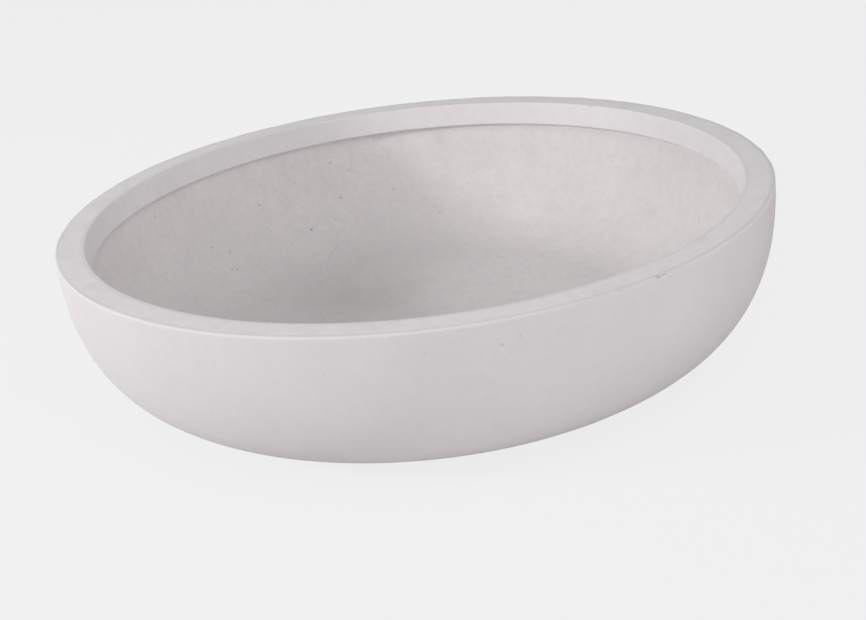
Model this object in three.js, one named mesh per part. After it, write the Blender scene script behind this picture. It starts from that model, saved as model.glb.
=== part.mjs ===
// Concrete bowl planter: a round cast bowl with a thick, flat-topped lip, a rubber stopper
// in its drain hole and four rubber pads under its foot.
// Millimetres, +Z up, with the origin on the floor under the bowl's centre.

import * as THREE from 'three';

// Driving dimensions of the concrete casting.
const rimRadius = 400;
const castingHeight = 187; // foot to rim, without the pads
const footRadius = 232; // the flat part under the bowl, where the wall starts to curve up
const wallExponent = 2.5; // 2 gives an elliptical wall section, and more gives a squarer one
const wallThickness = 31;
const floorThickness = 24;
const lipDepth = 28;
const lipOverhang = 6; // how far the lip stands in from the wall below it
const lipDraft = 4; // how far the lip's inner face leans in, from its top to its lower edge
const lipUndersideDrop = 4;
const outerArris = 3; // worn corner between the rim's top and the outer wall
const innerArris = 1.5; // worn corners of the lip's inner face
const drainHoleRadius = 15;
const drainHoleChamfer = 1.5;

// Driving dimensions of the rubber stopper, which is let into the planting floor.
const plugClearance = 0.3; // all round the stopper, and under its flange
const plugTaper = 1.5; // how much narrower the shank is at its tip
const plugTipGap = 4; // from the underside of the foot up to the shank's tip
const plugTipChamfer = 1.2;
const plugFlangeWidth = 8; // beyond the drain hole
const plugFlangeThickness = 5;
const plugCrown = 2; // how far the flange's domed top stands above the planting floor
const plugCrownSteps = 4;

// Driving dimensions of the rubber pads.
const padCount = 4;
const padRadius = 20;
const padThickness = 3;
const padChamfer = 0.8;
const padEdgeMargin = 20; // from a pad's edge to the edge of the flat foot

// How finely the round shapes are faceted.
const bowlSegments = 72;
const smallSegments = 32;
const wallSteps = 14;

// Levels above the floor.
const footLevel = padThickness;
const floorLevel = footLevel + floorThickness;
const rimLevel = footLevel + castingHeight;
const lipBottomLevel = rimLevel - lipDepth;

// Radii of the lip's inner face, worked out from the wall that carries it.
const innerWallRadius = rimRadius - wallThickness;
const lipBottomRadius = innerWallRadius - lipOverhang;
const lipTopRadius = lipBottomRadius + lipDraft;

// The recess in the planting floor that takes the stopper's flange flush.
const flangeRadius = drainHoleRadius + plugFlangeWidth;
const recessRadius = flangeRadius + plugClearance;
const recessLevel = floorLevel - plugFlangeThickness - plugClearance;

const concrete = new THREE.MeshStandardMaterial({
  name: 'cast_concrete', color: 0xdad6d7, roughness: 0.9, metalness: 0,
});
const plugRubber = new THREE.MeshStandardMaterial({
  name: 'plug_rubber', color: 0xb0aead, roughness: 0.75, metalness: 0,
});
const padRubber = new THREE.MeshStandardMaterial({
  name: 'pad_rubber', color: 0x262627, roughness: 0.85, metalness: 0,
});

const point = (radius, level) => new THREE.Vector2(radius, level);

// Turns a section, given as points of radius and level, about the Z axis.
function turned(name, section, segments, material) {
  const geometry = new THREE.LatheGeometry(section, segments);
  geometry.rotateX(Math.PI / 2);
  const mesh = new THREE.Mesh(geometry, material);
  mesh.name = name;
  return mesh;
}

// Points up a quarter superellipse, from the flat at footRadius and bottomLevel to a wall that
// is upright at topRadius and rimLevel, as far as stopLevel.
function wallCurve(topRadius, bottomLevel, stopLevel) {
  const reach = topRadius - footRadius;
  const rise = rimLevel - bottomLevel;
  const power = 2 / wallExponent;
  const stopAngle = Math.asin(((rimLevel - stopLevel) / rise) ** (1 / power));
  return Array.from({ length: wallSteps + 1 }, (_, step) => {
    const angle = THREE.MathUtils.lerp(Math.PI / 2, stopAngle, step / wallSteps);
    return point(
      footRadius + reach * Math.max(Math.cos(angle), 0) ** power,
      rimLevel - rise * Math.sin(angle) ** power,
    );
  });
}

// The casting's section runs out under the foot, up the outside, over the rim and the lip,
// down the inside to the planting floor, and back through the recess and the drain hole.
function bowlShell() {
  const outerWall = wallCurve(rimRadius, footLevel, rimLevel - outerArris);
  const innerWall = wallCurve(innerWallRadius, floorLevel, lipBottomLevel - lipUndersideDrop);
  const section = [
    point(drainHoleRadius, footLevel + drainHoleChamfer),
    point(drainHoleRadius + drainHoleChamfer, footLevel),
    ...outerWall,
    point(rimRadius - outerArris, rimLevel),
    point(lipTopRadius + innerArris, rimLevel),
    point(lipTopRadius, rimLevel - innerArris),
    point(lipBottomRadius, lipBottomLevel + innerArris),
    point(lipBottomRadius + innerArris, lipBottomLevel),
    ...innerWall.reverse(),
    point(recessRadius + drainHoleChamfer, floorLevel),
    point(recessRadius, floorLevel - drainHoleChamfer),
    point(recessRadius, recessLevel),
    point(drainHoleRadius, recessLevel),
    point(drainHoleRadius, footLevel + drainHoleChamfer),
  ];
  return turned('bowl_shell', section, bowlSegments, concrete);
}

// The stopper's tapered shank hangs in the drain hole, and its domed flange fills the recess.
function drainPlug() {
  const shankRadius = drainHoleRadius - plugClearance;
  const tipRadius = shankRadius - plugTaper;
  const tipLevel = footLevel + plugTipGap;
  const flangeBottom = recessLevel + plugClearance;
  const crown = Array.from({ length: plugCrownSteps + 1 }, (_, step) => {
    const angle = (step / plugCrownSteps) * (Math.PI / 2);
    return point(flangeRadius * Math.cos(angle), floorLevel + plugCrown * Math.sin(angle));
  });
  crown.at(-1).x = 0;
  const section = [
    point(0, tipLevel),
    point(tipRadius - plugTipChamfer, tipLevel),
    point(tipRadius, tipLevel + plugTipChamfer),
    point(shankRadius, flangeBottom),
    point(flangeRadius, flangeBottom),
    ...crown,
  ];
  return turned('drain_plug', section, smallSegments, plugRubber);
}

// One pad, glued flat against the foot and chamfered where it meets the floor.
function footPad(number) {
  const circleRadius = footRadius - padEdgeMargin - padRadius;
  const angle = ((number - 0.5) * 2 * Math.PI) / padCount;
  const section = [
    point(0, 0),
    point(padRadius - padChamfer, 0),
    point(padRadius, padChamfer),
    point(padRadius, footLevel),
    point(0, footLevel),
  ];
  const pad = turned(`foot_pad_${number}`, section, smallSegments, padRubber);
  pad.position.set(circleRadius * Math.cos(angle), circleRadius * Math.sin(angle), 0);
  return pad;
}

const planter = new THREE.Group();
planter.add(bowlShell(), drainPlug());
for (let number = 1; number <= padCount; number += 1) planter.add(footPad(number));

export default planter;
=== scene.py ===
import math

import bmesh
import bpy
import numpy as np
from mathutils import Matrix, Vector
from mathutils.kdtree import KDTree


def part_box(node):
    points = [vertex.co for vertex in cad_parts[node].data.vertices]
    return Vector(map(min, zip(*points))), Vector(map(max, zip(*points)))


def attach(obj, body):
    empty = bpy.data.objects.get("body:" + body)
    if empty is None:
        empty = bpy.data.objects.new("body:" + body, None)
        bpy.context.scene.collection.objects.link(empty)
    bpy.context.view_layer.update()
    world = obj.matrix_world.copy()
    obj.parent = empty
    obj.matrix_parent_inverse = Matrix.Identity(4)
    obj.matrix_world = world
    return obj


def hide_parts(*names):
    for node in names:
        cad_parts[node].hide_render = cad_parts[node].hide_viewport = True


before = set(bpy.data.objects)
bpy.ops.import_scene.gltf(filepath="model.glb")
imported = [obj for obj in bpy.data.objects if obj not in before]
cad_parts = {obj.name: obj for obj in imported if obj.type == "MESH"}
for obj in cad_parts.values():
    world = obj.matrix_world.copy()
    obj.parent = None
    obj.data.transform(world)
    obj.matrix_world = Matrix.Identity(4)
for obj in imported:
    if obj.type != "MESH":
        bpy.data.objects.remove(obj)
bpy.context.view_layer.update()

# ---------------------------------------------------------------------------------------
# The bowl: one casting of pale concrete with glass fibre in it. The mould leaves the outside
# smooth; the inside is sprayed and smoothed by hand, so it is warmer in tone and rougher.
# The flat rim is ground level, and its outer edge is worn and chipped from handling.
# ---------------------------------------------------------------------------------------
BOWL_SEGMENTS = 360
WALL_SPACING, RIM_SPACING, LIP_SPACING = 0.006, 0.0048, 0.005
FLOOR_SPACING, FOOT_SPACING = 0.01, 0.02

FOOT_RADIUS = 0.232
WALL_EXPONENT = 2.5
WALL_THICKNESS, FLOOR_THICKNESS = 0.031, 0.024
LIP_DEPTH, LIP_OVERHANG, LIP_DRAFT, LIP_UNDERSIDE_DROP = 0.028, 0.006, 0.004, 0.004
OUTER_ARRIS, INNER_ARRIS, ROOT_ROUNDING = 0.0024, 0.0015, 0.002
ARRIS_LEAD = (0.0026, 0.0012)  # the wall's last two rings, below its arris
UNDERCUT, UNDERCUT_REACH = 0.0026, 0.022
HOLE_RADIUS, HOLE_CHAMFER = 0.015, 0.0015
HOLE_MIDDLE = 0.013
RECESS_RADIUS, RECESS_LEVEL, RECESS_ARRIS = 0.0233, 0.0217, 0.0008
RECESS_MARGIN = 0.004  # from the recess to the first ring of the planting floor
FOOT_EDGE = 0.006  # from the last ring of the foot or floor to where the wall curves up

bowl_low, bowl_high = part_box("bowl_shell")
rim_radius = bowl_high.x
foot_level = bowl_low.z
rim_level = bowl_high.z
floor_level = foot_level + FLOOR_THICKNESS
inner_wall_radius = rim_radius - WALL_THICKNESS
lip_bottom_level = rim_level - LIP_DEPTH
lip_bottom_radius = inner_wall_radius - LIP_OVERHANG
lip_top_radius = lip_bottom_radius + LIP_DRAFT
lip_underside_level = lip_bottom_level - LIP_UNDERSIDE_DROP


def spaced(points, spacing):
    """The same line with its points about a spacing apart."""
    points = np.asarray(points, float)
    along = np.concatenate([[0], np.cumsum(np.linalg.norm(np.diff(points, axis=0), axis=1))])
    stops = np.linspace(0, along[-1], max(2, round(along[-1] / spacing) + 1))
    return np.column_stack([np.interp(stops, along, points[:, axis]) for axis in (0, 1)])


def wall_curve(top_radius, bottom_level, stop_level, steps=600):
    """Up a quarter superellipse, from the edge of the foot or planting floor to a level."""
    power = 2 / WALL_EXPONENT
    rise = rim_level - bottom_level
    stop = math.asin(((rim_level - stop_level) / rise) ** (1 / power))
    angle = np.linspace(math.pi / 2, stop, steps)
    radius = FOOT_RADIUS + (top_radius - FOOT_RADIUS) * np.maximum(np.cos(angle), 0) ** power
    return np.column_stack([radius, rim_level - rise * np.sin(angle) ** power])


def rounded(before, corner, after, radius, steps):
    """A corner of a section as an arc that touches both of its sides."""
    before, corner, after = (Vector(point) for point in (before, corner, after))
    first, second = (before - corner).normalized(), (after - corner).normalized()
    half = first.angle(second) / 2
    centre = corner + (first + second).normalized() * (radius / math.sin(half))
    start = corner + first * (radius / math.tan(half)) - centre
    end = corner + second * (radius / math.tan(half)) - centre
    turn = start.angle_signed(end)
    return [
        tuple(centre + Matrix.Rotation(-turn * step / steps, 2) @ start)
        for step in range(steps + 1)
    ]


def ramp(value, low, high):
    """0 below low, 1 above high and smooth between them."""
    share = np.clip((value - low) / (high - low), 0, 1)
    return share * share * (3 - 2 * share)


def turned(name, section, segments):
    """A mesh of a section, as points of radius and level, turned about Z.

    Points on the axis become one vertex. A section with none is a closed loop."""
    turns = [2 * math.pi * step / segments for step in range(segments)]
    places, rings, faces = [], [], []
    for radius, level in section:
        if radius < 1e-6:
            rings.append([len(places)] * segments)
            places.append((0.0, 0.0, level))
        else:
            rings.append(list(range(len(places), len(places) + segments)))
            places.extend((radius * math.cos(t), radius * math.sin(t), level) for t in turns)
    if section[0][0] > 1e-6:
        rings.append(rings[0])
    for lower, upper in zip(rings, rings[1:]):
        for step in range(segments):
            after = (step + 1) % segments
            corners = (lower[step], lower[after], upper[after], upper[step])
            faces.append(tuple(dict.fromkeys(corners)))
    mesh = bpy.data.meshes.new(name)
    mesh.from_pydata(places, [], faces)
    mesh.shade_smooth()
    piece = bpy.data.objects.new(name, mesh)
    bpy.context.scene.collection.objects.link(piece)
    return piece


outer_wall = spaced(
    wall_curve(rim_radius, foot_level, rim_level - OUTER_ARRIS), WALL_SPACING
)[:-1]
below_arris = [(rim_radius, rim_level - OUTER_ARRIS - drop) for drop in ARRIS_LEAD]
inner_wall = spaced(
    wall_curve(inner_wall_radius, floor_level, lip_underside_level), WALL_SPACING
)[::-1]
# The sprayed face lies a little deeper just under the lip.
below_lip = lip_underside_level - inner_wall[:, 1]
inner_wall[:, 0] += UNDERCUT * (1 - ramp(below_lip, 0, UNDERCUT_REACH))
rim_outside, rim_inside = (rim_radius, rim_level), (lip_top_radius, rim_level)
lip_foot, lip_root = (lip_bottom_radius, lip_bottom_level), tuple(inner_wall[0])

foot_line = [(HOLE_RADIUS + HOLE_CHAMFER, foot_level), (FOOT_RADIUS - FOOT_EDGE, foot_level)]
foot_run = [(HOLE_RADIUS, foot_level + HOLE_CHAMFER), *spaced(foot_line, FOOT_SPACING)]
outer_corner = rounded((rim_radius, 0), rim_outside, rim_inside, OUTER_ARRIS, steps=6)
inner_corner = rounded(rim_outside, rim_inside, lip_foot, INNER_ARRIS, steps=4)
lip_corner = rounded(rim_inside, lip_foot, lip_root, INNER_ARRIS, steps=4)
root_corner = rounded(lip_foot, lip_root, tuple(inner_wall[1]), ROOT_ROUNDING, steps=3)
rim_run = spaced([outer_corner[-1], inner_corner[0]], RIM_SPACING)[1:-1]
lip_run = spaced([inner_corner[-1], lip_corner[0]], LIP_SPACING)[1:-1]
floor_line = [
    (FOOT_RADIUS - FOOT_EDGE, floor_level), (RECESS_RADIUS + RECESS_MARGIN, floor_level)
]
floor_run = [*spaced(floor_line, FLOOR_SPACING), (RECESS_RADIUS + HOLE_CHAMFER, floor_level)]
recess_run = [
    (RECESS_RADIUS, floor_level - HOLE_CHAMFER),
    (RECESS_RADIUS, RECESS_LEVEL + RECESS_ARRIS),
    (RECESS_RADIUS - RECESS_ARRIS, RECESS_LEVEL),
    (HOLE_RADIUS + RECESS_ARRIS, RECESS_LEVEL),
    (HOLE_RADIUS, RECESS_LEVEL - RECESS_ARRIS),
    (HOLE_RADIUS, HOLE_MIDDLE),
]
# Each run of the section has one finish: off the mould, ground flat, or sprayed and smoothed.
runs = [
    (foot_run, "mould"), (outer_wall, "mould"), (below_arris, "mould"),
    (outer_corner, "mould"), (rim_run, "ground"),
    (inner_corner, "lip"), (lip_run, "lip"), (lip_corner, "lip"), (root_corner, "sprayed"),
    (inner_wall[2:], "sprayed"), (floor_run, "sprayed"), (recess_run, "mould"),
]
bowl_section = [tuple(point) for run, _ in runs for point in run]
section_finish = np.array([finish for run, finish in runs for _ in run])

bowl = turned("cast_bowl", bowl_section, BOWL_SEGMENTS)

places = np.empty(len(bowl.data.vertices) * 3)
bowl.data.vertices.foreach_get("co", places)
places = places.reshape(len(bowl_section), BOWL_SEGMENTS, 3)
azimuth = np.arctan2(places[..., 1], places[..., 0])
radius = np.hypot(places[..., 0], places[..., 1])
level = places[..., 2]


def waves(seed, count, spread, turns, rises):
    """Unevenness from 0 to 1: seeded waves, each with so many turns round the bowl and so many
    radians per metre up its wall. A larger spread keeps them nearer the middle."""
    draw = np.random.default_rng(seed)
    total = np.zeros_like(azimuth)
    for _ in range(count):
        around = draw.integers(turns[0], turns[1] + 1)
        upward = draw.uniform(*rises)
        total += np.cos(around * azimuth + upward * level + draw.uniform(0, 2 * math.pi))
    return np.clip(0.5 + total / (2 * spread * math.sqrt(count)), 0, 1)


# The casting is nowhere quite true. Its wall swells by a few tenths of a millimetre, always
# inward of the mould, the sprayed inside waves a little more, and the ground rim dips.
SWELL, FINE_SWELL = 0.0007, 0.0003
RIPPLE, FINE_RIPPLE = 0.0014, 0.0009
RIM_DIP, ARRIS_WEAR = 0.0003, 0.0009
SPREAD, WEAR_SPREAD = 1.6, 1.5
FOOT_FADE, LIP_FADE, RIM_FADE = (0.004, 0.03), 0.02, 0.003
FLOOR_FADE = (0.06, 0.12)  # the radii between which the planting floor starts to wave
around = np.ones(BOWL_SEGMENTS)
masks = {name: np.outer(section_finish == name, around) for name in ("ground", "lip", "sprayed")}
outer_side = np.outer(section_finish == "mould", around) * (radius > FOOT_RADIUS)
swell = SWELL * waves(3, count=9, spread=SPREAD, turns=(2, 9), rises=(-25, 25))
swell += FINE_SWELL * waves(4, count=12, spread=SPREAD, turns=(12, 40), rises=(-120, 120))
broad = waves(5, count=12, spread=SPREAD, turns=(3, 14), rises=(-40, 40))
fine = waves(6, count=16, spread=SPREAD, turns=(18, 60), rises=(-160, 160))
ripple = RIPPLE * (broad - 0.5)
ripple += FINE_RIPPLE * (fine - 0.5)
pull = outer_side * swell * ramp(level, foot_level + FOOT_FADE[0], foot_level + FOOT_FADE[1])
pull += (
    masks["sprayed"] * ripple * ramp(radius, *FLOOR_FADE)
    * ramp(lip_underside_level - level, 0, LIP_FADE)
)
dip = RIM_DIP * waves(7, count=10, spread=SPREAD, turns=(2, 12), rises=(0, 1))
dip *= ramp(level, rim_level - RIM_FADE, rim_level)


def near(distance, reach):
    """1 at no distance, falling softly towards 0 past the reach."""
    return np.exp(-((distance / reach) ** 2))


ARRIS_REACH, WEAR_REACH = 0.0022, 0.0035
from_arris = np.hypot(radius - rim_radius, level - rim_level)
# Painted highlight: a light line along the rim's outer arris.
masks["arris"] = near(from_arris, ARRIS_REACH)
wear = ARRIS_WEAR * waves(8, count=24, spread=WEAR_SPREAD, turns=(9, 70), rises=(0, 1))
patchy = waves(9, count=12, spread=WEAR_SPREAD, turns=(3, 16), rises=(0, 1))
wear *= patchy * near(from_arris, WEAR_REACH)

# A hairline runs along the arris at the front right, between the chips.
HAIRLINE_DROP, HAIRLINE_REACH = 0.0011, 0.0010
HAIRLINE_START, HAIRLINE_END = (-71.5, -69), (-50.5, -52)  # azimuths between which it fades
turn = np.degrees(azimuth)
hairline_span = ramp(turn, *HAIRLINE_START) * ramp(turn, *HAIRLINE_END)
from_hairline = np.hypot(radius - rim_radius, level - (rim_level - HAIRLINE_DROP))
masks["hairline"] = near(from_hairline, HAIRLINE_REACH) * hairline_span

# Painted shade: one side of the planting floor is coloured a shade darker.
PAINTED_SHADE_X, PAINTED_SHADE_Y, PAINTED_SHADE_REACH = -0.078, 0.108, 0.065
from_painted_shade = np.hypot(places[..., 0] - PAINTED_SHADE_X, places[..., 1] - PAINTED_SHADE_Y)
masks["floor_shade"] = masks["sprayed"] * near(from_painted_shade, PAINTED_SHADE_REACH)

new_radius = radius - pull - wear
places[..., 0] = new_radius * np.cos(azimuth)
places[..., 1] = new_radius * np.sin(azimuth)
places[..., 2] = level - dip - wear
bowl.data.vertices.foreach_set("co", places.ravel())
for name, values in masks.items():
    layer = bowl.data.attributes.new(name, "FLOAT", "POINT")
    layer.data.foreach_set("value", values.ravel())


def around_bowl(radius, turn, height):
    """A point at a radius, an azimuth in degrees and a level."""
    turn = math.radians(turn)
    return Vector((radius * math.cos(turn), radius * math.sin(turn), height))


# Air bubbles against the mould and in the sprayed face leave small open hollows. Each is
# given by its azimuth, its level or radius, and its own radius.
moulded_hollows = [
    (-80.5, 0.165, 0.0015), (-78, 0.1705, 0.0013), (-104, 0.153, 0.0012), (-90.5, 0.168, 0.0011),
    (-120, 0.1575, 0.0010), (-73, 0.0965, 0.0010), (-69, 0.163, 0.0009), (-74.5, 0.141, 0.0009),
    (-63, 0.154, 0.0009), (60, 0.14, 0.0012), (140, 0.1, 0.0010), (172, 0.15, 0.0013),
    (15, 0.12, 0.0010), (110, 0.16, 0.0012),
]
sprayed_hollows = [
    (115.5, 0.059, 0.0022), (106.5, 0.087, 0.0021), (94.5, 0.086, 0.0020), (137, 0.065, 0.0019),
    (107, 0.133, 0.0018), (84.5, 0.054, 0.0018), (151.5, 0.14, 0.0017), (125, 0.103, 0.0018),
    (140, 0.049, 0.0020), (138.7, 0.0475, 0.0018), (103.5, 0.118, 0.0016), (109, 0.063, 0.0017),
    (140.5, 0.077, 0.0016), (70, 0.031, 0.0015), (76.5, 0.0287, 0.0017), (44, 0.12, 0.0014),
]
floor_hollows = [(34, 0.222, 0.0014), (100, 0.2025, 0.0014), (250, 0.15, 0.0015)]
rim_hollows = [(230, 0.384, 0.001), (318, 0.379, 0.001), (100, 0.388, 0.001), (12, 0.38, 0.001)]
draw = np.random.default_rng(21)
strewn = [
    (moulded_hollows, 36, (0.03, 0.18), (0.0005, 0.0010)),
    (sprayed_hollows, 90, (0.04, 0.15), (0.0008, 0.0015)),
    (floor_hollows, 20, (0.06, 0.22), (0.0008, 0.0015)),
]
for spots, count, places_between, sizes_between in strewn:
    spots += [
        (draw.uniform(0, 360), draw.uniform(*places_between), draw.uniform(*sizes_between))
        for _ in range(count)
    ]
hollows = [
    (around_bowl(np.interp(height, run[:, 1], run[:, 0]), turn, height), size)
    for run, spots in ((outer_wall, moulded_hollows), (inner_wall[::-1], sprayed_hollows))
    for turn, height, size in spots
]
hollows += [
    (around_bowl(radius, turn, height), size)
    for height, spots in ((floor_level, floor_hollows), (rim_level, rim_hollows))
    for turn, radius, size in spots
]

# The trowel left two shallow scores in the sprayed face. Each is a line of points, given by
# their azimuths and levels.
SCORE_STEPS, SCORE_DEPTH, SCORE_REACH, SCORE_SHADE = 40, 0.0007, 0.0020, 0.22
scores = [
    [(102.3, 0.1487), (102.5, 0.1366), (102.7, 0.1260), (102.8, 0.1155)],
    [(111.7, 0.0387), (113.8, 0.0353), (115.7, 0.0321), (117.6, 0.0295), (119.0, 0.0278)],
]
score_spots = []
for line in scores:
    stops = np.linspace(0, len(line) - 1, SCORE_STEPS)
    turns, heights = (np.interp(stops, range(len(line)), column) for column in zip(*line))
    reaches = np.interp(heights, inner_wall[::-1, 1], inner_wall[::-1, 0])
    score_spots += [around_bowl(*spot) for spot in zip(reaches, turns, heights)]

# Chips along the rim's outer arris and nicks in its inner one, from handling. Each is given
# by its azimuth, its length along the rim, its depth and how dark its painted shade is.
chips = [
    (292.0, 0.020, 0.0006, 0.15), (296.9, 0.018, 0.0010, 0.35), (300.0, 0.026, 0.0005, 0.2),
    (303.6, 0.026, 0.0016, 0.8), (306.2, 0.014, 0.0005, 0.2), (308.0, 0.010, 0.0010, 0.4),
    (180.7, 0.014, 0.0012, 0.3), (222, 0.009, 0.0006, 0.1), (338, 0.011, 0.0010, 0.3),
    (20, 0.015, 0.0013, 0.3), (75, 0.011, 0.0009, 0.3), (118, 0.017, 0.0013, 0.3),
    (150, 0.010, 0.0008, 0.2),
]
nicks = [(49.1, 0.009, 0.0012, 0.5), (98, 0.006, 0.0007, 0.3), (330, 0.007, 0.0008, 0.3)]
damage = [(rim_radius, OUTER_ARRIS, 1, *chip) for chip in chips]
damage += [(lip_top_radius, INNER_ARRIS, -1, *nick) for nick in nicks]

casting = bmesh.new()
casting.from_mesh(bowl.data)


CUTS = 5
HOLLOW_MARGIN, SCORE_MARGIN, CHIP_MARGIN = 0.0038, 0.006, 0.001


def refine(spots):
    """Cuts the faces within a reach of each spot finer, so that small shapes press in."""
    casting.faces.ensure_lookup_table()
    tree = KDTree(len(casting.faces))
    for face in casting.faces:
        tree.insert(face.calc_center_median(), face.index)
    tree.balance()
    casting.edges.ensure_lookup_table()
    casting.edges.index_update()
    found = set()
    for spot, reach in spots:
        for _, index, _ in tree.find_range(spot, reach):
            found.update(edge.index for edge in casting.faces[index].edges)
    edges = [casting.edges[index] for index in sorted(found)]
    bmesh.ops.subdivide_edges(casting, edges=edges, cuts=CUTS, use_grid_fill=True)


refine(
    [(spot, size + HOLLOW_MARGIN) for spot, size in hollows]
    + [(spot, SCORE_MARGIN) for spot in score_spots]
)
refine([
    (around_bowl(radius, turn, rim_level), length * 0.5 + CHIP_MARGIN)
    for radius, _, _, turn, length, _, _ in damage
])
casting.verts.ensure_lookup_table()
casting.normal_update()
hollow_shade_layer = casting.verts.layers.float.new("hollow")
tree = KDTree(len(casting.verts))
for vertex in casting.verts:
    tree.insert(vertex.co, vertex.index)
tree.balance()

HOLLOW_DEPTH = 0.4  # of a hollow's radius
SHADE_REACH, SHADE_RIM = 1.6, 0.3  # how far the painted shade reaches, in radii, and how dark it is outside
DARKEST_SIZE = 0.0021  # the radius at which a hollow's painted shade is darkest
OVAL_SHARE, LOBED_SHARE = 0.16, 0.1  # how far a hollow's edge is from round
pressed = {}
for spot, size in hollows:
    centre, nearest, _ = tree.find(spot)
    normal = casting.verts[nearest].normal.copy()
    side = normal.orthogonal().normalized()
    skew, lobes = draw.uniform(0, 2 * math.pi, 2)
    for place, index, _ in tree.find_range(centre, size * SHADE_REACH):
        away = place - centre
        turn = math.atan2(away.dot(normal.cross(side)), away.dot(side))
        oval, lobed = math.sin(2 * turn + skew), math.sin(3 * turn + lobes)
        edge = size * (1 + OVAL_SHARE * oval + LOBED_SHARE * lobed)
        share = 1 - min(away.length / edge, 1) ** 2
        pressed[index] = place - normal * (size * HOLLOW_DEPTH * math.sqrt(share))
        vertex = casting.verts[index]
        # Painted shade: the hollow is coloured darker inside, the more so the larger it is, and
        # faintly round its edge.
        shade_in_hollow = max(min(1, share * 1.6), SHADE_RIM * (1 - away.length / (size * SHADE_REACH)))
        vertex[hollow_shade_layer] = max(vertex[hollow_shade_layer], shade_in_hollow * size / DARKEST_SIZE)

score_tree = KDTree(len(score_spots))
for number, spot in enumerate(score_spots):
    score_tree.insert(spot, number)
score_tree.balance()
for vertex in casting.verts:
    _, _, distance = score_tree.find(vertex.co)
    if distance < SCORE_REACH * 2.5:
        share = near(distance, SCORE_REACH)
        place = pressed.get(vertex.index, vertex.co)
        pressed[vertex.index] = place - vertex.normal * (SCORE_DEPTH * share)
        # Painted shade along the trowel scores.
        vertex[hollow_shade_layer] = max(vertex[hollow_shade_layer], SCORE_SHADE * share)

CORNER_GAP = 0.414  # from a square corner to an arc of radius 1 that rounds it
FULL_SHADE_DEPTH = 0.0006  # how deep a chip has to be to take all its painted shade
RAGGED_SHARE, RAGGED_WAVE = 0.2, 700  # of a chip's depth, and radians per metre
FINE_SHARE, FINE_WAVE = 0.1, 1600
for radius, arris, side, turn, length, depth, chip_shade in damage:
    corner = around_bowl(radius, turn, rim_level)
    outward = around_bowl(side, turn, 0)
    tangent = Vector((-outward.y, outward.x, 0))
    facing = (outward + Vector((0, 0, 1))).normalized()
    skew, lobes = draw.uniform(0, 2 * math.pi, 2)
    for place, index, _ in tree.find_range(corner, length * 0.7 + 0.004):
        along = (place - corner).dot(tangent)
        share = 1 - (2 * along / length) ** 2
        if share <= 0:
            continue
        ragged = 1 + RAGGED_SHARE * math.sin(along * RAGGED_WAVE + skew)
        ragged += FINE_SHARE * math.sin(along * FINE_WAVE + lobes)
        cut = arris * CORNER_GAP + depth * share * ragged
        above = (place - corner).dot(facing) + cut
        if above > 0:
            pressed[index] = pressed.get(index, place) - facing * above
            vertex = casting.verts[index]
            # Painted shade in the chip, the darker the deeper it is cut.
            vertex[hollow_shade_layer] = max(vertex[hollow_shade_layer], min(1, above / FULL_SHADE_DEPTH) * chip_shade)
for index, place in pressed.items():
    casting.verts[index].co = place
bmesh.ops.triangulate(casting, faces=[face for face in casting.faces if len(face.verts) > 4])
casting.to_mesh(bowl.data)
casting.free()
bowl.data.shade_smooth()


class Socket:
    """A value in a material that Python's operators work on."""

    def __init__(self, tree, link=None):
        self.tree, self.link = tree, link

    def node(self, kind, settings=(), inputs=(), output=0):
        node = self.tree.nodes.new("ShaderNode" + kind)
        for name, value in dict(settings).items():
            setattr(node, name, value)
        for name, value in dict(inputs).items():
            if isinstance(value, Socket):
                self.tree.links.new(value.link, node.inputs[name])
            else:
                node.inputs[name].default_value = value
        return Socket(self.tree, node.outputs[output])

    def maths(self, operation, *values):
        return self.node("Math", {"operation": operation}, enumerate(values))

    def __add__(self, other):
        return self.maths("ADD", self, other)

    def __mul__(self, other):
        return self.maths("MULTIPLY", self, other)

    def __sub__(self, other):
        return self.maths("SUBTRACT", self, other)

    def __rsub__(self, other):
        return self.maths("SUBTRACT", other, self)

    __radd__, __rmul__ = __add__, __mul__

    def between(self, low, high):
        """0 where the value is at low, 1 where it is at high, and smooth between."""
        limits = {"Value": self, "From Min": low, "From Max": high}
        return self.node("MapRange", {"interpolation_type": "SMOOTHSTEP"}, limits)

    def mix(self, first, second):
        """The first colour where the value is 0, and the second where it is 1."""
        return self.node("Mix", {"data_type": "RGBA"}, {0: self, 6: first, 7: second}, 2)


def new_material(name):
    """A material with one shader, and the place on the object to work its pattern out from."""
    material = bpy.data.materials.new(name)
    material.use_nodes = True
    tree = material.node_tree
    shader = tree.nodes["Principled BSDF"]
    start = Socket(tree)
    return material, shader, start, start.node("TexCoord", output="Object")


def noise(place, size, detail=2.0, roughness=0.5, stretch=None):
    """Noise whose features are about a size across, in metres."""
    if stretch:
        place = place.node("Mapping", {}, {"Vector": place, "Scale": stretch})
    values = {"Vector": place, "Scale": 1 / size, "Detail": detail, "Roughness": roughness}
    return place.node("TexNoise", {}, values)


def grey(level, tint=(1, 1, 1)):
    """A grey that a tint pulls a little towards a colour."""
    return (*(level * share for share in tint), 1)


def lead_to(shader, colour, roughness, bump):
    """Links what varies over a surface to its shader."""
    for name, value in (("Base Color", colour), ("Roughness", roughness), ("Normal", bump)):
        value.tree.links.new(value.link, shader.inputs[name])


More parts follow.
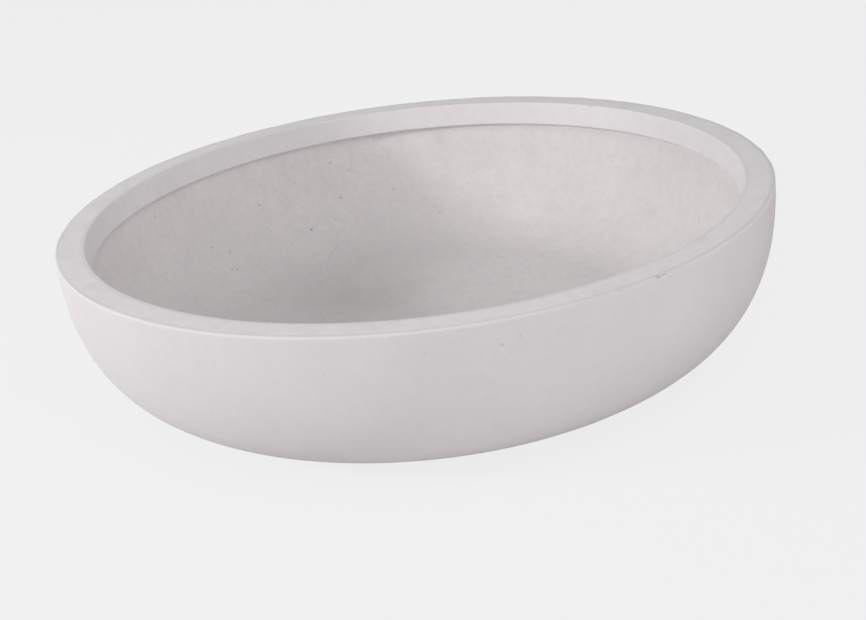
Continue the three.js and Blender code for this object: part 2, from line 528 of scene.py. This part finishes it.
concrete, shader, start, place = new_material("cast_concrete")
ground, lip, sprayed, arris, hairline, floor_shade, hollow = (
    start.node("Attribute", {"attribute_name": name}, output=2)
    for name in ("ground", "lip", "sprayed", "arris", "hairline", "floor_shade", "hollow")
)
MOULD_TINT, GROUND_TINT = (1.022, 0.976, 1.002), (1.013, 0.98, 1.007)
LIP_TINT, SPRAYED_TINT = (1.020, 0.980, 0.997), (1.032, 0.981, 0.981)
DIRT_TINT, HOLLOW_SHADE_TINT = (1.02, 0.98, 1.0), (1.0, 0.97, 1.03)
MOULD_GREYS, SPRAYED_GREYS, LIP_GREYS = (0.655, 0.677), (0.70, 0.728), (0.745, 0.785)
GROUND_GREY, ARRIS_HIGHLIGHT_GREY = 0.79, 0.80


def marked(colour, mask, share, level, tint=DIRT_TINT):
    """The colour with a grey over it where the mask is, as strongly as the share says."""
    return (mask * share).mix(colour, grey(level, tint))


# The greys of the cement drift over the casting, and finer patches of it dried darker.
cloud = noise(place, 0.12, detail=3, roughness=0.5).between(0.3, 0.7)
blotch = noise(place, 0.03, detail=4, roughness=0.6)
mottle = noise(place, 0.011, detail=2, roughness=0.55)
speckle = noise(place, 0.006, detail=3, roughness=0.6)
grain = noise(place, 0.002, detail=3, roughness=0.7)
streak = noise(place, 0.016, detail=3, roughness=0.6, stretch=(1, 1, 0.2))
moulded_colour, sprayed_colour, lip_colour = (
    cloud.mix(grey(dark, tint), grey(pale, tint))
    for (dark, pale), tint in (
        (MOULD_GREYS, MOULD_TINT), (SPRAYED_GREYS, SPRAYED_TINT), (LIP_GREYS, LIP_TINT)
    )
)
sprayed_colour = marked(sprayed_colour, streak.between(0.5, 0.75), share=0.3, level=0.62)
sprayed_colour = marked(
    sprayed_colour, speckle.between(0.5, 0.75), share=0.4, level=0.60, tint=SPRAYED_TINT
)
colour = ground.mix(moulded_colour, grey(GROUND_GREY, GROUND_TINT))
colour = lip.mix(colour, lip_colour)
colour = sprayed.mix(colour, sprayed_colour)
plain = 1 - lip * 0.7
colour = marked(colour, blotch.between(0.42, 0.75) * plain, share=0.3, level=0.61)
colour = marked(colour, mottle.between(0.35, 0.7), share=0.12 + sprayed * 0.02, level=0.58)
colour = marked(colour, grain.between(0.35, 0.75), share=0.15, level=0.5)
# Painted shade on one side of the planting floor, broken up by the blotches.
colour = marked(colour, floor_shade, share=0.25 + blotch * 0.3, level=0.5, tint=SPRAYED_TINT)

# Pores too small to model lie close together in patches, more of them on the sprayed face.
pores = place.node("TexVoronoi", {}, {"Vector": place, "Scale": 1 / 0.011})
crowding = noise(place, 0.03, detail=1).between(0.48, 0.68)
pore_radius = crowding * (0.04 + sprayed * 0.06 + lip * 0.04)
pore = pores.maths("LESS_THAN", pores, pore_radius)
colour = marked(colour, pore, share=0.22, level=0.3)
# Painted highlight: the outer arris is coloured lighter all round.
colour = marked(colour, arris, share=0.5, level=ARRIS_HIGHLIGHT_GREY, tint=MOULD_TINT)
colour = marked(colour, hairline * speckle.between(0.36, 0.56), share=0.18, level=0.33)
# Painted shade in the hollows, the trowel scores and the chips.
colour = marked(colour, hollow, share=0.38, level=0.24, tint=HOLLOW_SHADE_TINT)

# The relief is too fine for the mesh, and stronger on the sprayed face than off the mould.
height = grain * (0.3 + sprayed * 0.4) + speckle * (0.2 + sprayed * 0.9) + blotch - pore * 0.5
lump = noise(place, 0.016, detail=1).between(0.55, 0.75)
height = height + mottle * (0.5 + sprayed * 2) + lump * sprayed * 2
bump = height.node("Bump", {}, {"Height": height, "Strength": 0.3, "Distance": 0.0006})
shader.inputs["Specular IOR Level"].default_value = 0.25
lead_to(shader, colour, 0.84 + blotch * 0.12, bump)
bowl.data.materials.append(concrete)
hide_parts("bowl_shell")
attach(bowl, "bowl")

# ---------------------------------------------------------------------------------------
# The stopper: a moulded plug of pale grey rubber that closes the drain hole. Its domed flange
# lies flush in a recess of the planting floor, and two soft rings on its shank grip the hole.
# ---------------------------------------------------------------------------------------
PLUG_SEGMENTS = 96
PLUG_CLEARANCE, PLUG_TAPER = 0.0003, 0.0015
TIP_DISH_RADIUS, TIP_DISH_EDGE, TIP_DISH_DEPTH = 0.006, 0.0068, 0.0006
TIP_INSET, TIP_ROUNDING = 0.0004, 0.0014
RING_LEVELS, RING_REACH, RING_STAND, RING_INSET = (0.0115, 0.0165), 0.0014, 0.0005, 0.00005
FLANGE_ROUNDING, FLANGE_ROOT, FLANGE_ARRIS = 0.0006, 0.0008, 0.0009
CROWN_RING_RADIUS, CROWN_RING_WIDTH, CROWN_RING_DEPTH = 0.0115, 0.0011, 0.0005

plug_low, plug_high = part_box("drain_plug")
flange_radius = plug_high.x
shank_radius = HOLE_RADIUS - PLUG_CLEARANCE
flange_bottom = RECESS_LEVEL + PLUG_CLEARANCE
tip_radius = shank_radius - PLUG_TAPER
tip_level = plug_low.z


def shank(level, inset):
    """A point of the tapered shank, set in by some depth from its full radius."""
    share = (level - tip_level) / (flange_bottom - tip_level)
    return (tip_radius + (shank_radius - tip_radius) * share - inset, level)


flange_edge = (flange_radius, flange_bottom)
plug_section = [
    (0.0, tip_level + TIP_DISH_DEPTH),
    (TIP_DISH_RADIUS, tip_level + TIP_DISH_DEPTH),
    (TIP_DISH_EDGE, tip_level),
]
plug_section += rounded(
    (0.0, tip_level), (tip_radius - TIP_INSET, tip_level), shank(flange_bottom, TIP_INSET),
    TIP_ROUNDING, steps=6,
)
for ring_level in RING_LEVELS:
    for rise in np.linspace(-RING_REACH, RING_REACH, 9):
        fall = RING_STAND * (1 - math.cos(math.pi * rise / RING_REACH)) / 2
        plug_section.append(shank(ring_level + rise, fall + RING_INSET))
plug_section += rounded(
    shank(tip_level, RING_STAND), shank(flange_bottom, RING_STAND), flange_edge,
    FLANGE_ROOT, steps=3,
)
plug_section += rounded(
    (shank_radius, flange_bottom), flange_edge, (flange_radius, floor_level),
    FLANGE_ROUNDING, steps=4,
)
crown_rise = plug_high.z - floor_level
crown = [
    (flange_radius * math.cos(angle), floor_level + crown_rise * math.sin(angle))
    for angle in np.linspace(0.28, math.pi / 2, 26)
]
crown[-1] = (0.0, plug_high.z)
# A shallow ring is pressed into the crown, where the mould was filled.
crown = [
    (radius, level - CROWN_RING_DEPTH * near(radius - CROWN_RING_RADIUS, CROWN_RING_WIDTH))
    for radius, level in crown
]
plug_section += rounded(
    flange_edge, (flange_radius, floor_level - PLUG_CLEARANCE), crown[2],
    FLANGE_ARRIS, steps=4,
)
plug_section += crown[2:]
plug = turned("drain_stopper", plug_section, PLUG_SEGMENTS)

plug_rubber, shader, start, place = new_material("pale_grey_rubber")
dust = noise(place, 0.009, detail=4, roughness=0.65)
matte = noise(place, 0.0009, detail=2, roughness=0.6)
colour = dust.between(0.4, 0.7).mix(grey(0.40, (1.0, 0.985, 0.96)), grey(0.47, (1.0, 0.975, 0.955)))
bump = matte.node("Bump", {}, {"Height": matte + dust * 0.4, "Strength": 0.2, "Distance": 0.0002})
shader.inputs["Specular IOR Level"].default_value = 0.4
lead_to(shader, colour, 0.62 + dust * 0.25, bump)
plug.data.materials.append(plug_rubber)
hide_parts("drain_plug")
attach(plug, "stopper")

# ---------------------------------------------------------------------------------------
# The foot pads: four discs of black rubber with a shallow dish below, moulded and glued under
# the foot. They keep the concrete off the ground and let water run from the drain hole.
# ---------------------------------------------------------------------------------------
PAD_SEGMENTS = 64
PAD_DISH = [(0.0, 0.0006), (0.66, 0.0006), (0.68, 0.0004), (0.72, 0.00005), (0.74, 0.0)]
PAD_ARRIS, PAD_TOP_ARRIS = 0.0008, 0.0002

pad_rubber, shader, start, place = new_material("black_rubber")
scuff = noise(place, 0.006, detail=5, roughness=0.7)
skin = noise(place, 0.0007, detail=2, roughness=0.6)
colour = scuff.between(0.45, 0.75).mix(grey(0.018), grey(0.045, (1.0, 0.97, 0.94)))
bump = scuff.node("Bump", {}, {"Height": skin + scuff * 0.5, "Strength": 0.3, "Distance": 0.0002})
lead_to(shader, colour, 0.72 + scuff * 0.2, bump)

for number in range(1, 5):
    pad_low, pad_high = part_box(f"foot_pad_{number}")
    pad_radius = (pad_high.x - pad_low.x) / 2
    thickness = pad_high.z - pad_low.z
    middle_below, edge_below = (0.0, 0.0), (pad_radius, 0.0)
    middle_above, edge_above = (0.0, thickness), (pad_radius, thickness)
    # The dish is given by shares of the pad's radius and levels.
    pad_section = [(pad_radius * share, rise) for share, rise in PAD_DISH]
    pad_section += rounded(middle_below, edge_below, edge_above, PAD_ARRIS, steps=4)
    pad_section += rounded(edge_below, edge_above, middle_above, PAD_TOP_ARRIS, steps=2)
    pad_section += [(pad_radius * 0.7, thickness), middle_above]
    pad = turned(f"rubber_pad_{number}", pad_section, PAD_SEGMENTS)
    middle = (pad_low + pad_high) / 2
    pad.data.transform(Matrix.Translation((middle.x, middle.y, pad_low.z)))
    pad.data.materials.append(pad_rubber)
    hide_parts(f"foot_pad_{number}")
    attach(pad, "bowl")

# ---------------------------------------------------------------------------------------
# The studio: a plain pale floor that runs into a backdrop of the same grey, two small lamps low
# on the left, two large soft ones on the front right, and a camera that leans a little.
# ---------------------------------------------------------------------------------------
BACKGROUND = 0.871
FLOOR_LIT_SHARE = 0.08  # how much of the lamps' light the floor shows, with the bowl's shadow
FLOOR_LIGHT = 0.066  # what that share comes to in the middle of the view


def seen_itself(start):
    """1 for rays from the camera, also by way of gloss or glass, and 0 for light on things."""
    ray = start.node("LightPath")
    seen = ray
    for output in ("Is Glossy Ray", "Is Transmission Ray"):
        seen = seen.maths("MAXIMUM", seen, Socket(start.tree, ray.link.node.outputs[output]))
    return seen


bpy.ops.mesh.primitive_plane_add(size=60)
floor = bpy.context.object
floor.name = "studio_floor"
paper = bpy.data.materials.new("studio_paper")
paper.use_nodes = True
tree = paper.node_tree
tree.nodes.clear()
start = Socket(tree)
seen = seen_itself(start)
lit = start.node("BsdfDiffuse", {}, {"Color": grey(0.85)})
shown = start.node("BsdfDiffuse", {}, {"Color": grey(FLOOR_LIT_SHARE)})
glow = start.node("Emission", {}, {"Color": grey(1.0), "Strength": BACKGROUND - FLOOR_LIGHT})
shown = start.node("AddShader", {}, {0: shown, 1: glow})
surface = start.node("MixShader", {}, {0: seen, 1: lit, 2: shown})
tree.links.new(surface.link, tree.nodes.new("ShaderNodeOutputMaterial").inputs["Surface"])
floor.data.materials.append(paper)

world = bpy.data.worlds.new("studio")
bpy.context.scene.world = world
world.use_nodes = True
tree = world.node_tree
tree.nodes.clear()
start = Socket(tree)
seen = seen_itself(start)
fill = start.node("Background", {}, {"Color": grey(1.0), "Strength": 0.45})
backdrop = start.node("Background", {}, {"Color": grey(BACKGROUND), "Strength": 1.0})
surface = start.node("MixShader", {}, {0: seen, 1: fill, 2: backdrop})
tree.links.new(surface.link, tree.nodes.new("ShaderNodeOutputWorld").inputs["Surface"])

LAMP_AIM, LAMP_DISTANCE = Vector((0, 0, 0.1)), 3.2


def lamp(name, azimuth, elevation, size, power):
    """A square lamp aimed at the bowl from an azimuth and an elevation in degrees."""
    light = bpy.data.lights.new(name, "AREA")
    light.shape, light.size, light.energy = "SQUARE", size, power
    holder = bpy.data.objects.new(name, light)
    upward = math.radians(elevation)
    away = around_bowl(math.cos(upward), azimuth, math.sin(upward))
    holder.location = LAMP_AIM + away * LAMP_DISTANCE
    holder.rotation_euler = away.to_track_quat("Z", "Y").to_euler()
    holder.visible_camera = False
    bpy.context.scene.collection.objects.link(holder)


lamp("left_softbox", azimuth=-170, elevation=20, size=0.4, power=37)
lamp("near_left_softbox", azimuth=-160, elevation=24, size=0.4, power=14)
lamp("front_softbox", azimuth=-60, elevation=16, size=1.3, power=22)
lamp("high_softbox", azimuth=-60, elevation=50, size=1.3, power=13)

CAMERA_PLACE = (0.0077, -1.665, 0.726)
CAMERA_DOWNWARD, CAMERA_LEAN = 22.241, 6.58
camera = bpy.data.objects.new("camera", bpy.data.cameras.new("camera"))
camera.data.sensor_width = 36
camera.data.lens = 64.36
camera.matrix_world = (
    Matrix.Translation(CAMERA_PLACE)
    @ Matrix.Rotation(math.radians(90 - CAMERA_DOWNWARD), 4, "X")
    @ Matrix.Rotation(math.radians(-CAMERA_LEAN), 4, "Z")
)
bpy.context.scene.collection.objects.link(camera)
bpy.context.scene.camera = camera
bpy.context.scene.view_settings.view_transform = "Standard"
